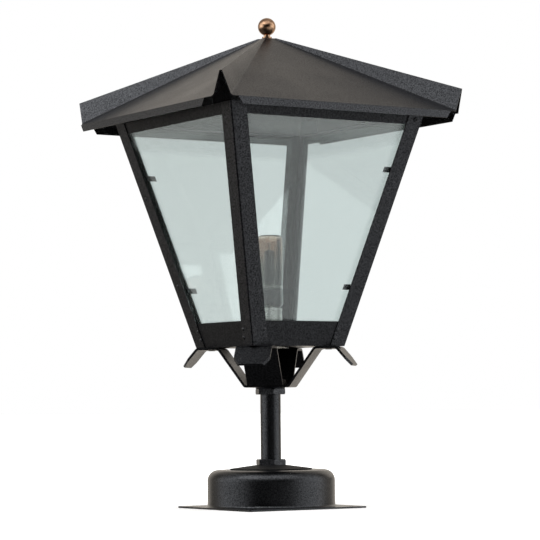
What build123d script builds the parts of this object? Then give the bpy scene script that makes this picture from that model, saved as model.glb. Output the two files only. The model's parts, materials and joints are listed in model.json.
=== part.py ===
"""Post top lantern: a four-sided tapered glass lantern head on a short stem with a domed base.

Millimetres, +Z up.  The origin is the middle of the flange's underside.  The four sides of the head
face +X, +Y, -X and -Y, and the cradle's arms lie on the diagonals.
"""
from build123d import *
import math
import os

# ---------------------------------------------------------------- driving sizes
# base: one pressed sheet, a square flange with a round dome
flange_side = 168.0
flange_corner_radius = 3.0
base_sheet = 2.0
dome_diameter = 156.0
dome_height = 46.5
dome_shoulder_radius = 13.0
dome_foot_radius = 3.0
flange_hole_diameter = 7.0
flange_hole_pitch = 140.0

# stem and what is clamped on it
stem_diameter = 25.0
stem_bore = 21.0
stem_hole_clearance = 0.2
nut_across_flats = 33.0
nut_height = 7.0
tightened_turn = -20.0
nut_thread_clearance = 0.05
washer_thickness = 1.5
washer_diameter = 36.0
cover_disc_diameter = 100.0
cover_disc_sheet = 1.5
cover_disc_rise = 4.2
stem_end_beyond_nut = 3.0

# cradle: a cross of flat steel bent up under the body's corners
cradle_sheet = 3.0
cradle_arm_width = 44.0
cradle_foot_reach = 28.0
cradle_knee_reach = 61.0
cradle_tail_start = 86.0
cradle_tail_reach = 104.0
cradle_tail_drop = 21.0
cradle_bend_radius = 4.0
cradle_tip_chamfer = 8.0
cradle_underside_z = 146.7
cradle_rise = 46.3

# body: four sloping sides between a tray below and the roof above
body_bottom_side = 132.8
body_height = 280.6
side_lean = 14.37
frame_sheet = 1.2
stile_width = 21.6
corner_slit = 1.5
angle_leg = 15.0
part_clearance = 0.1
bottom_rail_height = 29.6
top_rail_height = 13.4
top_rail_flange = 9.0
rail_to_angle_gap = 0.5
tray_sheet = 1.5
tray_upstand = 10.0
glass_thickness = 3.0
glass_edge_margin = 17.0
glass_behind_top_rail = 7.0
clip_sheet = 0.8
clip_height = 6.5
clip_reach = 28.0
clip_foot_width = 4.0
clip_short_reach = 20.5
clip_to_angle_edge = 0.2
clip_heights = (71.5, 213.0)

# rivets and screws
rivet_diameter = 3.0
rivet_head_diameter = 5.0
rivet_head_height = 0.9
stile_rivet_inset = 10.0
stile_rivet_heights = (76.6, 185.9)
rail_rivet_inset = 18.7
rail_rivet_heights = (9.4, 19.5)
roof_screw_inset = 10.6
roof_screw_below_top = 7.6
roof_screw_head_diameter = 6.0
roof_screw_head_height = 1.6
roof_screw_diameter = 4.0
cradle_screw_diameter = 5.0
cradle_screw_head_diameter = 8.0
cradle_screw_head_height = 0.8
cradle_nut_height = 4.0
cradle_nut_across_flats = 8.0
screw_end_beyond_nut = 1.5
nut_corner_chamfer = 0.035

# roof: a pyramid of thin sheet whose hips are pinched up into hollow ridges, open at the corners
eave_side = 350.8
eave_above_posts = 0.4
roof_rise = 103.7
roof_top_flat_drop = 3.7
roof_sheet = 1.2
lip_height = 8.8
lip_end_setback = 25.0
lip_end_slant = 6.0
front_left_lip_shift = -9.0
ridge_end_reach = 241.7
ridge_height = 28.5
ridge_crest_width = 3.0
ridge_foot_width = 15.8
ridge_foot_height = 7.5
ridge_flare_radius = 12.0
ridge_end_rake = 13.0
ridge_crest_radius = 1.9
eave_bend_radius = 1.4

# roof brackets: tongues that stand inside the corners and carry the roof on the top rails
bracket_sheet = 1.5
bracket_corner_gap = 4.5
bracket_tongue_width = 10.0
bracket_tongue_length = 15.6
bracket_width = 37.5
bracket_foot_length = 16.0
bracket_foot_width = 16.0

# finial
finial_ball_diameter = 22.0
finial_ball_centre_above_roof = 14.6
finial_neck_diameter = 8.0
finial_collar_diameter = 12.0
finial_collar_height = 1.8
finial_stud_diameter = 6.0
finial_stud_length = 14.0
finial_nut_height = 5.0
finial_nut_across_flats = 10.0
finial_washer_diameter = 14.0
finial_washer_thickness = 1.2
finial_running_clearance = 0.08

# lamp and lampholder
lamp_diameter = 32.0
lamp_glass_wall = 1.2
lamp_glass_above_tray = 46.5
lamp_glass_length = 89.6
lamp_top_round = 5.0
lamp_neck_diameter = 24.0
lamp_neck_height = 5.0
lamp_skirt_diameter = 29.4
lamp_skirt_height = 16.5
lamp_thread_diameter = 26.4
lamp_thread_height = 22.0
lamp_contact_diameter = 10.0
lamp_contact_height = 2.5
burner_diameter = 13.0
burner_above_glass_bottom = 26.0
burner_height = 46.0
burner_round = 5.2
burner_post_diameter = 7.0
holder_diameter = 38.0
holder_flange_height = 4.0
holder_top_clearance = 0.6
holder_bore_clearance = 0.08
holder_below_tray = 1.5
holder_screw_clearance = 0.5
holder_flange_margin = 4.0
holder_screw_below_tray = 2.0
holder_screw_diameter = 3.0
holder_screw_head_height = 1.8
holder_screw_head_diameter = 5.0

# wiring parts
bush_wall = 2.0
bush_height = 9.0
bush_rim = 1.5
terminal_length = 34.0
terminal_width = 17.0
terminal_height = 14.0
terminal_gap = 1.5
terminal_chamfer = 1.5
terminal_screw_count = 3
terminal_screw_diameter = 5.0
earth_place = (34.0, 16.0)
earth_screw_diameter = 4.0
earth_screw_head_diameter = 8.0
earth_screw_head_height = 2.8

# ---------------------------------------------------------------- dependent sizes
lean = math.radians(side_lean)
body_bottom_half = body_bottom_side / 2
eave_half = eave_side / 2
flat_over_round = 1 / math.cos(math.radians(30))
quarter_turns = (0, 90, 180, 270)
long_clip_sides = (0, 180)
roof_screw_sides = (0, 180)

cradle_seat_z = cradle_underside_z + cradle_rise
cradle_screw_reach = (cradle_knee_reach + cradle_tail_start) / 2
body_z = cradle_seat_z + cradle_sheet
post_top_z = body_z + body_height
eave_z = post_top_z + eave_above_posts
apex_z = eave_z + roof_rise
roof_top_flat_z = apex_z - roof_top_flat_drop
# the pressing thins the sheet a little on the ridges' steep sides
ridge_wall = 0.75 * roof_sheet
roof_drop = 0.85 * roof_sheet

dome_inner_top_z = dome_height - base_sheet
inner_washer_z = dome_inner_top_z - washer_thickness
inner_nut_z = inner_washer_z - nut_height
stem_bottom_z = inner_nut_z - stem_end_beyond_nut
disc_top_z = dome_height + cover_disc_rise + cover_disc_sheet
cradle_top_z = cradle_underside_z + cradle_sheet
cradle_washer_z = cradle_underside_z - washer_thickness
lower_head_nut_z = cradle_washer_z - nut_height
upper_head_nut_top_z = cradle_top_z + nut_height
stem_top_z = upper_head_nut_top_z + stem_end_beyond_nut

angle_depth = frame_sheet
tray_depth = 2 * frame_sheet + part_clearance
glass_depth = tray_depth + frame_sheet + 2 * part_clearance
clip_depth = glass_depth + glass_thickness + part_clearance
tray_top_z = body_z + tray_sheet
bottom_rail_top_z = body_z + bottom_rail_height
top_rail_bottom_z = post_top_z - top_rail_height
glass_bottom_z = tray_top_z + part_clearance
glass_top_z = top_rail_bottom_z + glass_behind_top_rail
rail_margin = angle_leg + rail_to_angle_gap

holder_screw_pitch = holder_diameter + holder_screw_head_diameter + 2 * holder_screw_clearance
holder_flange_diameter = holder_screw_pitch + 2 * holder_flange_margin
terminal_place = (-(holder_flange_diameter + terminal_width) / 2 - terminal_gap, 0.0)
lamp_glass_bottom_z = tray_top_z + lamp_glass_above_tray
lamp_top_z = lamp_glass_bottom_z + lamp_glass_length
burner_bottom_z = lamp_glass_bottom_z + burner_above_glass_bottom
lamp_axis_bottom_z = lamp_glass_bottom_z - lamp_skirt_height - lamp_thread_height - lamp_contact_height
lamp_skirt_z = lamp_glass_bottom_z - lamp_skirt_height
holder_top_z = lamp_skirt_z - holder_top_clearance
holder_bottom_z = body_z - holder_below_tray


# ---------------------------------------------------------------- helpers
nodes = {}


def keep(name, shape):
    """Remember a finished piece under its node's name."""
    nodes[name] = shape


def disc(diameter, bottom, height):
    """An upright cylinder on the lantern's axis."""
    return Pos(0, 0, bottom) * Cylinder(diameter / 2, height, align=(Align.CENTER, Align.CENTER, Align.MIN))


def block(x_range, y_range, z_range):
    """A box between two values on each axis."""
    sizes = [r[1] - r[0] for r in (x_range, y_range, z_range)]
    lowest = (x_range[0], y_range[0], z_range[0])
    return Pos(*lowest) * Box(*sizes, align=(Align.MIN, Align.MIN, Align.MIN))


def hex_nut(bottom, height, across_flats, bore, turn=0):
    """A hexagon nut on the axis, with its outer corners turned off above and below."""
    corners = across_flats * flat_over_round
    nut = extrude(Pos(0, 0, bottom) * Rot(0, 0, turn) * RegularPolygon(corners / 2, 6), amount=height)
    turned = chamfer(disc(corners, bottom, height).edges().filter_by(GeomType.CIRCLE), corners * nut_corner_chamfer)
    return (nut & turned) - disc(bore, bottom - 1, height + 2)


def quarter(turn, shape):
    """The same shape on another side of the lantern."""
    return Rot(0, 0, turn) * shape


def side_half(z, depth=0.0):
    """Half the body's width at height z, on a layer that lies `depth` inside the outer face."""
    return body_bottom_half + (z - body_z) * math.tan(lean) - depth / math.cos(lean)


def side_plane(depth):
    """The +X side's layer: x along the side, y up the slope, z outwards."""
    origin = (side_half(body_z, depth), 0, body_z)
    return Plane(origin=origin, x_dir=(0, 1, 0), z_dir=(math.cos(lean), 0, -math.sin(lean)))


def side_sheet(outline, depth, thickness):
    """A flat sheet on the +X side from (place along the side, height) points."""
    points = [(along, (z - body_z) / math.cos(lean)) for along, z in outline]
    face = side_plane(depth) * make_face(Polyline(*points, close=True))
    return extrude(face, amount=-thickness)


def side_band(z_low, z_high, margin, depth, thickness):
    """A sheet across the +X side, with its ends parallel to the corners."""
    low, high = side_half(z_low) - margin, side_half(z_high) - margin
    return side_sheet([(-low, z_low), (low, z_low), (high, z_high), (-high, z_high)], depth, thickness)


def side_strip(z_low, z_high, near, far, depth, thickness, hand=1):
    """A sheet along one corner of the +X side, between two distances from the corner."""
    outline = []
    for z, inset in ((z_low, near), (z_high, near), (z_high, far), (z_low, far)):
        outline.append((hand * (side_half(z) - inset), z))
    return side_sheet(outline, depth, thickness)


def side_pin(height_up, inset, diameter, depth_from, depth_to, hand=1):
    """A round pin square to the +X side, between two depths below its outer face."""
    along, up_slope = hand * (side_half(body_z + height_up) - inset), height_up / math.cos(lean)
    place = side_plane(0) * Pos(along, up_slope, -depth_from)
    return place * Cylinder(diameter / 2, depth_to - depth_from, align=(Align.CENTER, Align.CENTER, Align.MAX))


# ---------------------------------------------------------------- base and stem
def build_base():
    flange = extrude(RectangleRounded(flange_side, flange_side, flange_corner_radius), amount=base_sheet)
    dome = fillet(disc(dome_diameter, 0, dome_height).edges().group_by(Axis.Z)[-1], dome_shoulder_radius)
    sheet = flange + dome
    foot = sheet.edges().filter_by(GeomType.CIRCLE).filter_by(
        lambda e: abs(e.radius - dome_diameter / 2) < 0.01 and abs(e.center().Z - base_sheet) < 0.01)
    sheet = fillet(foot, dome_foot_radius)
    hollow = disc(dome_diameter - 2 * base_sheet, 0, dome_inner_top_z)
    hollow = fillet(hollow.edges().group_by(Axis.Z)[-1], dome_shoulder_radius - base_sheet)
    sheet -= hollow
    sheet -= disc(stem_diameter + 2 * stem_hole_clearance, 0, dome_height + 1)
    half = flange_hole_pitch / 2
    for x in (-half, half):
        for y in (-half, half):
            sheet -= Pos(x, y, 0) * Cylinder(flange_hole_diameter / 2, 4 * base_sheet)
    keep("base_flange", sheet)


def build_stem():
    stem = disc(stem_diameter, stem_bottom_z, stem_top_z - stem_bottom_z)
    keep("stem_tube", stem - disc(stem_bore, stem_bottom_z - 1, stem_top_z - stem_bottom_z + 2))
    thread = stem_diameter + 2 * nut_thread_clearance
    hole = stem_diameter + 2 * stem_hole_clearance
    keep("stem_nut_inner", hex_nut(inner_nut_z, nut_height, nut_across_flats, thread))
    keep("stem_washer_inner", disc(washer_diameter, inner_washer_z, washer_thickness)
         - disc(hole, inner_washer_z - 1, washer_thickness + 2))
    keep("stem_nut_outer", hex_nut(disc_top_z, nut_height, nut_across_flats, thread, tightened_turn))
    keep("head_nut_lower", hex_nut(lower_head_nut_z, nut_height, nut_across_flats, thread, tightened_turn))
    keep("head_nut_upper", hex_nut(cradle_top_z, nut_height, nut_across_flats, thread))
    keep("head_washer", disc(washer_diameter, cradle_washer_z, washer_thickness)
         - disc(hole, cradle_washer_z - 1, washer_thickness + 2))
    # the cover disc: a shallow cone with a flat middle for the nut
    rim, flat, bore = cover_disc_diameter / 2, nut_across_flats * flat_over_round / 2, hole / 2
    section = Polyline(
        (rim, dome_height), (rim, dome_height + cover_disc_sheet), (flat, disc_top_z), (bore, disc_top_z),
        (bore, disc_top_z - cover_disc_sheet), (flat, disc_top_z - cover_disc_sheet), close=True)
    keep("cover_disc", revolve(Plane.XZ * make_face(section), Axis.Z))
    # the bush that guards the wires where they leave the stem
    bush_bottom = stem_top_z - bush_height
    bush = disc(stem_bore - 2 * part_clearance, bush_bottom, bush_height)
    bush += disc(stem_diameter, stem_top_z, bush_rim)
    keep("stem_bush", bush - disc(stem_bore - 2 * bush_wall, bush_bottom - 1, bush_height + bush_rim + 2))


def build_cradle():
    low, high = cradle_underside_z, cradle_seat_z
    path = FilletPolyline(
        (0, low), (cradle_foot_reach, low), (cradle_knee_reach, high), (cradle_tail_start, high),
        (cradle_tail_reach, high - cradle_tail_drop), radius=cradle_bend_radius)
    section = make_face(offset(path, amount=cradle_sheet, side=Side.LEFT))
    arm = Pos(0, cradle_arm_width / 2, 0) * extrude(Plane.XZ * section, amount=cradle_arm_width)
    # octagonal tips: the corners are cut across the tail
    tip_x = arm.bounding_box().max.X
    half = cradle_arm_width / 2
    for side in (1, -1):
        corner = Polyline((tip_x - cradle_tip_chamfer, side * (half + 1)), (tip_x + 1, side * (half + 1)),
                          (tip_x + 1, side * (half - cradle_tip_chamfer)),
                          (tip_x, side * (half - cradle_tip_chamfer)),
                          (tip_x - cradle_tip_chamfer, side * half), close=True)
        arm -= extrude(make_face(corner), amount=2 * body_z)
    cross = arm
    for turn in quarter_turns[1:]:
        cross += quarter(turn, arm)
    cross -= disc(stem_diameter + 2 * stem_hole_clearance, low - 1, cradle_sheet + 2)
    for turn in quarter_turns:
        cross -= quarter(turn, Pos(cradle_screw_reach, 0, high) * Cylinder(
            cradle_screw_diameter / 2 + part_clearance, 4 * cradle_sheet))
    keep("cradle", Rot(0, 0, 45) * cross)


def build_cradle_fixings():
    """Four screws that hold the tray down on the cradle's knees, and their nuts inside."""
    screws, nuts = [], []
    top_of_nut = tray_top_z + cradle_nut_height
    for turn in quarter_turns:
        place = Rot(0, 0, 45 + turn) * Pos(cradle_screw_reach, 0, 0)
        screw = disc(cradle_screw_head_diameter, cradle_seat_z - cradle_screw_head_height, cradle_screw_head_height)
        screw += disc(cradle_screw_diameter, cradle_seat_z, top_of_nut + screw_end_beyond_nut - cradle_seat_z)
        screws.append(place * screw)
        bore = cradle_screw_diameter + 2 * nut_thread_clearance
        nuts.append(place * hex_nut(tray_top_z, cradle_nut_height, cradle_nut_across_flats, bore))
    keep("cradle_screws", Compound(children=screws))
    keep("cradle_nuts", Compound(children=nuts))


# ---------------------------------------------------------------- body frame and glass
def frustum(z_low, z_high, depth):
    """A solid square frustum that follows the four sides at one depth."""
    squares = []
    for z in (z_low, z_high):
        squares.append(Pos(0, 0, z) * Rectangle(2 * side_half(z, depth), 2 * side_half(z, depth)))
    return loft(squares, ruled=True)


def build_tray():
    top = body_z + tray_upstand
    tray = frustum(body_z, top, tray_depth) - frustum(tray_top_z, top + 1, tray_depth + frame_sheet)
    tray -= disc(holder_diameter + 2 * part_clearance + 1, body_z - 1, tray_sheet + 2)
    for turn in quarter_turns:
        place = Rot(0, 0, 45 + turn) * Pos(cradle_screw_reach, 0, body_z)
        tray -= place * Cylinder(cradle_screw_diameter / 2 + part_clearance, 4 * tray_sheet)
    for x in (-holder_screw_pitch / 2, holder_screw_pitch / 2):
        tray -= Rot(0, 0, 45) * Pos(x, 0, body_z) * Cylinder(
            holder_screw_diameter / 2 + part_clearance, 4 * tray_sheet)
    keep("bottom_tray", tray)


side_names = {0: "front_right", 90: "back_right", 180: "back_left", 270: "front_left"}
corner_names = {0: "right", 90: "back", 180: "left", 270: "front"}


def frame_holes(shape, turn, hands):
    """Rivet and screw holes that pass through every layer of the frame on one side of the lantern."""
    through = 3 * frame_sheet
    for hand in hands:
        for height in rail_rivet_heights:
            shape -= side_pin(height, rail_rivet_inset, rivet_diameter, -1, through, hand)
    if -1 in hands:
        for height in stile_rivet_heights:
            shape -= side_pin(height, stile_rivet_inset, rivet_diameter, -1, through, -1)
    if 1 in hands and turn in roof_screw_sides:
        shape -= side_pin(post_top_z - roof_screw_below_top - body_z, roof_screw_inset,
                          roof_screw_diameter + 2 * part_clearance, -1, through)
    return shape


def build_sides():
    for turn, side in side_names.items():
        for hand, end in ((1, "right"), (-1, "left")):
            stile = side_strip(body_z, post_top_z, corner_slit, stile_width, 0, frame_sheet, hand)
            keep(f"stile_{side}_{end}", quarter(turn, frame_holes(stile, turn, (hand,))))
        rail = side_band(body_z, bottom_rail_top_z, rail_margin, angle_depth, frame_sheet)
        keep(f"bottom_rail_{side}", quarter(turn, frame_holes(rail, turn, (1, -1))))
        top = side_band(top_rail_bottom_z, post_top_z, rail_margin, angle_depth, frame_sheet)
        outer = side_half(post_top_z - frame_sheet, angle_depth)
        reach = side_half(top_rail_bottom_z) - rail_margin
        top += block((outer - top_rail_flange, outer), (-reach, reach), (post_top_z - frame_sheet, post_top_z))
        keep(f"top_rail_{side}", quarter(turn, top))
        pane = side_band(glass_bottom_z, glass_top_z, glass_edge_margin, glass_depth, glass_thickness)
        keep(f"glass_{side}", quarter(turn, pane))


def build_corners():
    """Folded angles that join the stiles of two neighbouring sides from behind."""
    for turn, corner in corner_names.items():
        reach = angle_depth / math.cos(lean)
        leg_a = side_strip(body_z, post_top_z, reach, angle_leg, angle_depth, frame_sheet, 1)
        leg_b = side_strip(body_z, post_top_z, reach, angle_leg, angle_depth, frame_sheet, -1)
        leg_a, leg_b = frame_holes(leg_a, turn, (1,)), frame_holes(leg_b, (turn + 90) % 360, (-1,))
        keep(f"corner_angle_{corner}", quarter(turn, leg_a + quarter(90, leg_b)))


def build_clips():
    """Z-shaped clips on the corner angles that hold the panes from inside."""
    long_clips, short_clips = [], []
    foot_near = glass_edge_margin - part_clearance - clip_foot_width
    foot_depth = angle_depth + frame_sheet
    for turn in quarter_turns:
        for hand in (1, -1):
            is_long = hand == 1 and turn in long_clip_sides
            reach = clip_reach if is_long else clip_short_reach
            for height in clip_heights:
                low, high = body_z + height - clip_height / 2, body_z + height + clip_height / 2
                clip = side_strip(low, high, foot_near, reach, clip_depth, clip_sheet, hand)
                clip += side_strip(low, high, foot_near, angle_leg - clip_to_angle_edge, foot_depth,
                                   clip_depth + clip_sheet - foot_depth, hand)
                group = long_clips if is_long else short_clips
                group.append(quarter(turn, clip))
    keep("glass_clips_long", Compound(children=long_clips))
    keep("glass_clips_short", Compound(children=short_clips))


def rivet(height, inset, hand):
    shank = side_pin(height, inset, rivet_diameter - 2 * nut_thread_clearance, 0, 2 * frame_sheet, hand)
    return shank + side_pin(height, inset, rivet_head_diameter, -rivet_head_height, 0, hand)


def build_rivets():
    stile_rivets, rail_rivets, screws = [], [], []
    for turn in quarter_turns:
        for height in stile_rivet_heights:
            stile_rivets.append(quarter(turn, rivet(height, stile_rivet_inset, -1)))
        for hand in (1, -1):
            for height in rail_rivet_heights:
                rail_rivets.append(quarter(turn, rivet(height, rail_rivet_inset, hand)))
    for turn in roof_screw_sides:
        height = post_top_z - roof_screw_below_top - body_z
        screw = side_pin(height, roof_screw_inset, roof_screw_head_diameter, -roof_screw_head_height, 0)
        screw += side_pin(height, roof_screw_inset, roof_screw_diameter, 0, 2 * frame_sheet)
        screws.append(quarter(turn, screw))
    keep("stile_rivets", Compound(children=stile_rivets))
    keep("rail_rivets", Compound(children=rail_rivets))
    keep("roof_screws", Compound(children=screws))


# ---------------------------------------------------------------- roof
def ridge_at_eave(reach, half_width, height):
    """Carry a point of the ridge's end section down the cone to the eave's level."""
    stretch = (apex_z - eave_z) / (apex_z - eave_z - height)
    return reach * stretch, half_width * stretch


def roof_outline():
    """The roof cone's section at the eave: a square whose corners run out into four long ridges."""
    tip_reach, tip_half = ridge_at_eave(ridge_end_reach, ridge_crest_width / 2, ridge_height)
    foot_reach, foot_half = ridge_at_eave(ridge_end_reach, ridge_foot_width / 2, ridge_foot_height)
    slope = (foot_half - tip_half) / (tip_reach - foot_reach)
    corner_reach = eave_half * math.sqrt(2)
    # where the ridge's side meets the 45 degree line of the eave
    valley_reach = (corner_reach - foot_half - slope * foot_reach) / (1 - slope)
    valley_half = corner_reach - valley_reach
    points, valleys = [], []
    for turn in quarter_turns:
        for reach, across in ((valley_reach, -valley_half), (tip_reach, -tip_half),
                              (tip_reach, tip_half), (valley_reach, valley_half)):
            angle = math.radians(turn + 45)
            points.append((reach * math.cos(angle) - across * math.sin(angle),
                           reach * math.sin(angle) + across * math.cos(angle)))
            if reach == valley_reach:
                valleys.append(points[-1])
    face = make_face(Polyline(*points, close=True))

    def at_valley(vertex):
        return any(math.dist((vertex.X, vertex.Y), valley) < 0.01 for valley in valleys)

    face = fillet([v for v in face.vertices() if at_valley(v)], ridge_flare_radius)
    crest_corners = [v for v in face.vertices() if math.hypot(v.X, v.Y) > tip_reach]
    return fillet(crest_corners, ridge_crest_radius)


def roof_cone(outline, apex, base_z, top_z):
    """A ruled cone over an outline, from base_z up to top_z."""
    shrink = (apex - top_z) / (apex - base_z)
    return loft([Pos(0, 0, base_z) * outline, Pos(0, 0, top_z) * scale(outline, by=shrink)], ruled=True)


def eave_bend_cut(half_length):
    """What the rounded fold between a roof face and its lip takes off the sharp edge."""
    pitch = math.atan2(roof_rise, eave_half)
    half_angle = (math.pi / 2 + pitch) / 2
    back = eave_bend_radius / math.tan(half_angle)
    on_face = (eave_half - back * math.cos(pitch), eave_z + back * math.sin(pitch))
    on_lip = (eave_half, eave_z - back)
    middle = (eave_half - eave_bend_radius * (1 - math.cos(math.pi / 2 - half_angle)),
              eave_z - back + eave_bend_radius * math.sin(math.pi / 2 - half_angle))
    corner = Polyline(on_lip, (eave_half + 1, eave_z - back), (eave_half + 1, eave_z + 1), on_face)
    section = make_face(corner + ThreePointArc(on_face, middle, on_lip))
    return extrude(Plane.XZ * section, amount=half_length, both=True)


def build_roof():
    outline = roof_outline()
    outer = roof_cone(outline, apex_z, eave_z, roof_top_flat_z)
    inner_outline = offset(outline, amount=-ridge_wall, kind=Kind.INTERSECTION)
    inner_top_z = roof_top_flat_z - 1.5 * roof_sheet
    inner = roof_cone(inner_outline, apex_z - roof_drop, eave_z - roof_drop, inner_top_z)
    shell = outer - inner
    # the ridges end on planes square to the diagonals, raked outwards towards the crest
    rake = math.tan(math.radians(ridge_end_rake))
    top = eave_z + ridge_height + 1
    squares = []
    for z in (eave_z - 1, top):
        reach = ridge_end_reach - (eave_z + ridge_height - z) * rake
        squares.append(Pos(0, 0, z) * Rot(0, 0, 45) * Rectangle(2 * reach, 2 * reach))
    trim = loft(squares, ruled=True) + block((-eave_half, eave_half), (-eave_half, eave_half), (top, apex_z + 1))
    shell &= trim
    # the lips: upright edges below the eaves, with slanted ends
    half_top, half_low = eave_half - lip_end_setback, eave_half - lip_end_setback - lip_end_slant
    lip_face = make_face(Polyline((-half_top, eave_z), (half_top, eave_z), (half_low, eave_z - lip_height),
                                  (-half_low, eave_z - lip_height), close=True))
    lip = extrude(Plane(origin=(eave_half, 0, 0), x_dir=(0, 1, 0), z_dir=(1, 0, 0)) * lip_face, amount=-roof_sheet)
    for turn, side in side_names.items():
        shift = Pos(0, front_left_lip_shift if side == "front_left" else 0, 0)
        shell += quarter(turn, shift * lip)
        shell -= quarter(turn, shift * eave_bend_cut(half_top))
    shell -= disc(finial_stud_diameter + 2 * finial_running_clearance, inner_top_z - 1, apex_z - inner_top_z)
    keep("roof", shell)


def build_brackets():
    """Four tongues that locate the roof inside the corners and rest on the top rails' flanges."""
    depth = tray_depth
    inner_slope = (apex_z - eave_z) / (eave_half - ridge_wall)
    ceiling = apex_z - roof_drop - 2 * part_clearance
    # height at which the bracket's outer face meets the roof's underside
    start = body_bottom_half - body_z * math.tan(lean) - depth / math.cos(lean)
    top_z = (ceiling - inner_slope * start) / (1 + inner_slope * math.tan(lean))
    rest_z = post_top_z + part_clearance
    brackets = []
    for turn in quarter_turns:
        near, tongue = bracket_corner_gap, bracket_corner_gap + bracket_tongue_width
        wide = bracket_corner_gap + bracket_width
        plate = side_strip(rest_z - bracket_tongue_length, rest_z, near, tongue, depth, bracket_sheet)
        plate += side_strip(rest_z, top_z, near, wide, depth, bracket_sheet)
        # the foot, bent over to lie under the roof's face
        pitch = math.atan(inner_slope)
        along = Vector(-math.cos(pitch), 0, math.sin(pitch))
        down = Vector(-math.sin(pitch), 0, -math.cos(pitch))
        corner = Vector(side_half(top_z, depth), 0, top_z)
        outline = [corner, corner + along * bracket_foot_length,
                   corner + along * bracket_foot_length + down * bracket_sheet, corner + down * bracket_sheet]
        foot = make_face(Polyline(*outline, close=True))
        y_high = side_half(top_z) - wide + bracket_foot_width
        foot = Pos(0, y_high, 0) * extrude(foot, amount=bracket_foot_width, dir=(0, -1, 0))
        plate += foot
        if turn in roof_screw_sides:
            plate -= side_pin(post_top_z - roof_screw_below_top - body_z, roof_screw_inset,
                              roof_screw_diameter + 2 * part_clearance, 0, 4 * bracket_sheet)
        brackets.append(quarter(turn, plate))
    keep("roof_brackets", Compound(children=brackets))


def build_finial():
    top = roof_top_flat_z + finial_running_clearance
    centre = roof_top_flat_z + finial_ball_centre_above_roof
    finial = Pos(0, 0, centre) * Sphere(finial_ball_diameter / 2)
    finial += disc(finial_neck_diameter, top, finial_ball_centre_above_roof)
    finial += disc(finial_collar_diameter, top, finial_collar_height)
    finial += disc(finial_stud_diameter, top - finial_stud_length, finial_stud_length)
    keep("finial", finial)
    ceiling = roof_top_flat_z - 1.5 * roof_sheet - finial_running_clearance
    washer_z = ceiling - finial_washer_thickness
    bore = finial_stud_diameter + 2 * finial_running_clearance
    keep("finial_washer", disc(finial_washer_diameter, washer_z, finial_washer_thickness)
         - disc(bore, washer_z - 1, finial_washer_thickness + 2))
    keep("finial_nut", hex_nut(washer_z - finial_nut_height, finial_nut_height, finial_nut_across_flats, bore))


# ---------------------------------------------------------------- lamp
def build_lamp():
    radius, wall = lamp_diameter / 2, lamp_glass_wall
    neck = lamp_neck_diameter / 2
    shoulder_z = lamp_glass_bottom_z + lamp_neck_height
    outer = disc(lamp_diameter, shoulder_z, lamp_top_z - shoulder_z)
    outer = fillet(outer.edges().group_by(Axis.Z)[-1], lamp_top_round)
    outer += Pos(0, 0, lamp_glass_bottom_z) * Cone(neck, radius, lamp_neck_height,
                                                   align=(Align.CENTER, Align.CENTER, Align.MIN))
    inner = disc(lamp_diameter - 2 * wall, shoulder_z, lamp_top_z - wall - shoulder_z)
    inner = fillet(inner.edges().group_by(Axis.Z)[-1], lamp_top_round - wall)
    inner += Pos(0, 0, lamp_glass_bottom_z) * Cone(neck - wall, radius - wall, lamp_neck_height,
                                                   align=(Align.CENTER, Align.CENTER, Align.MIN))
    keep("lamp_glass", outer - inner)
    cap = disc(lamp_skirt_diameter, lamp_skirt_z, lamp_skirt_height)
    cap += disc(lamp_thread_diameter, lamp_skirt_z - lamp_thread_height, lamp_thread_height)
    cap += disc(lamp_contact_diameter, lamp_axis_bottom_z, lamp_contact_height)
    keep("lamp_cap", cap)
    burner = disc(burner_diameter, burner_bottom_z, burner_height)
    burner = fillet(burner.edges().group_by(Axis.Z)[-1], burner_round)
    keep("lamp_burner", burner)
    keep("lamp_post", disc(burner_post_diameter, lamp_glass_bottom_z, burner_bottom_z - lamp_glass_bottom_z))


def build_holder():
    holder = disc(holder_diameter, holder_bottom_z, holder_top_z - holder_bottom_z)
    holder += disc(holder_flange_diameter, tray_top_z, holder_flange_height)
    bore_bottom = lamp_axis_bottom_z - part_clearance
    holder -= disc(lamp_thread_diameter + 2 * holder_bore_clearance, bore_bottom, holder_top_z - bore_bottom + 1)
    screws = []
    for x in (-holder_screw_pitch / 2, holder_screw_pitch / 2):
        place = Rot(0, 0, 45) * Pos(x, 0, 0)
        hole = Pos(0, 0, tray_top_z) * Cylinder(holder_screw_diameter / 2 + part_clearance, 4 * holder_flange_height)
        holder -= place * hole
        seat = tray_top_z + holder_flange_height
        screw = disc(holder_screw_head_diameter, seat, holder_screw_head_height)
        screw += disc(holder_screw_diameter, body_z - holder_screw_below_tray,
                      seat - body_z + holder_screw_below_tray)
        screws.append(place * screw)
    keep("lampholder", holder)
    keep("lampholder_screws", Compound(children=screws))


def build_wiring_parts():
    x, y = terminal_place
    base = Pos(x, y, tray_top_z) * Box(terminal_width, terminal_length, terminal_height,
                                       align=(Align.CENTER, Align.CENTER, Align.MIN))
    base = chamfer(base.edges().group_by(Axis.Z)[-1], terminal_chamfer)
    screws = []
    pitch = terminal_length / terminal_screw_count
    for i in range(terminal_screw_count):
        place = (x, y + (i - (terminal_screw_count - 1) / 2) * pitch)
        base -= Pos(*place, tray_top_z + terminal_height) * Cylinder(
            terminal_screw_diameter / 2 + part_clearance, terminal_height)
        screws.append(Pos(*place, tray_top_z + terminal_height / 2) * Cylinder(
            terminal_screw_diameter / 2, terminal_height / 3, align=(Align.CENTER, Align.CENTER, Align.MIN)))
    keep("terminal_block", base)
    keep("terminal_screws", Compound(children=screws))
    earth = disc(earth_screw_head_diameter, tray_top_z, earth_screw_head_height)
    keep("earth_screw", Pos(*earth_place, 0) * earth)


build_base()
build_stem()
build_cradle()
build_cradle_fixings()
build_tray()
build_sides()
build_corners()
build_clips()
build_rivets()
build_roof()
build_brackets()
build_finial()
build_lamp()
build_holder()
build_wiring_parts()

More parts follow.
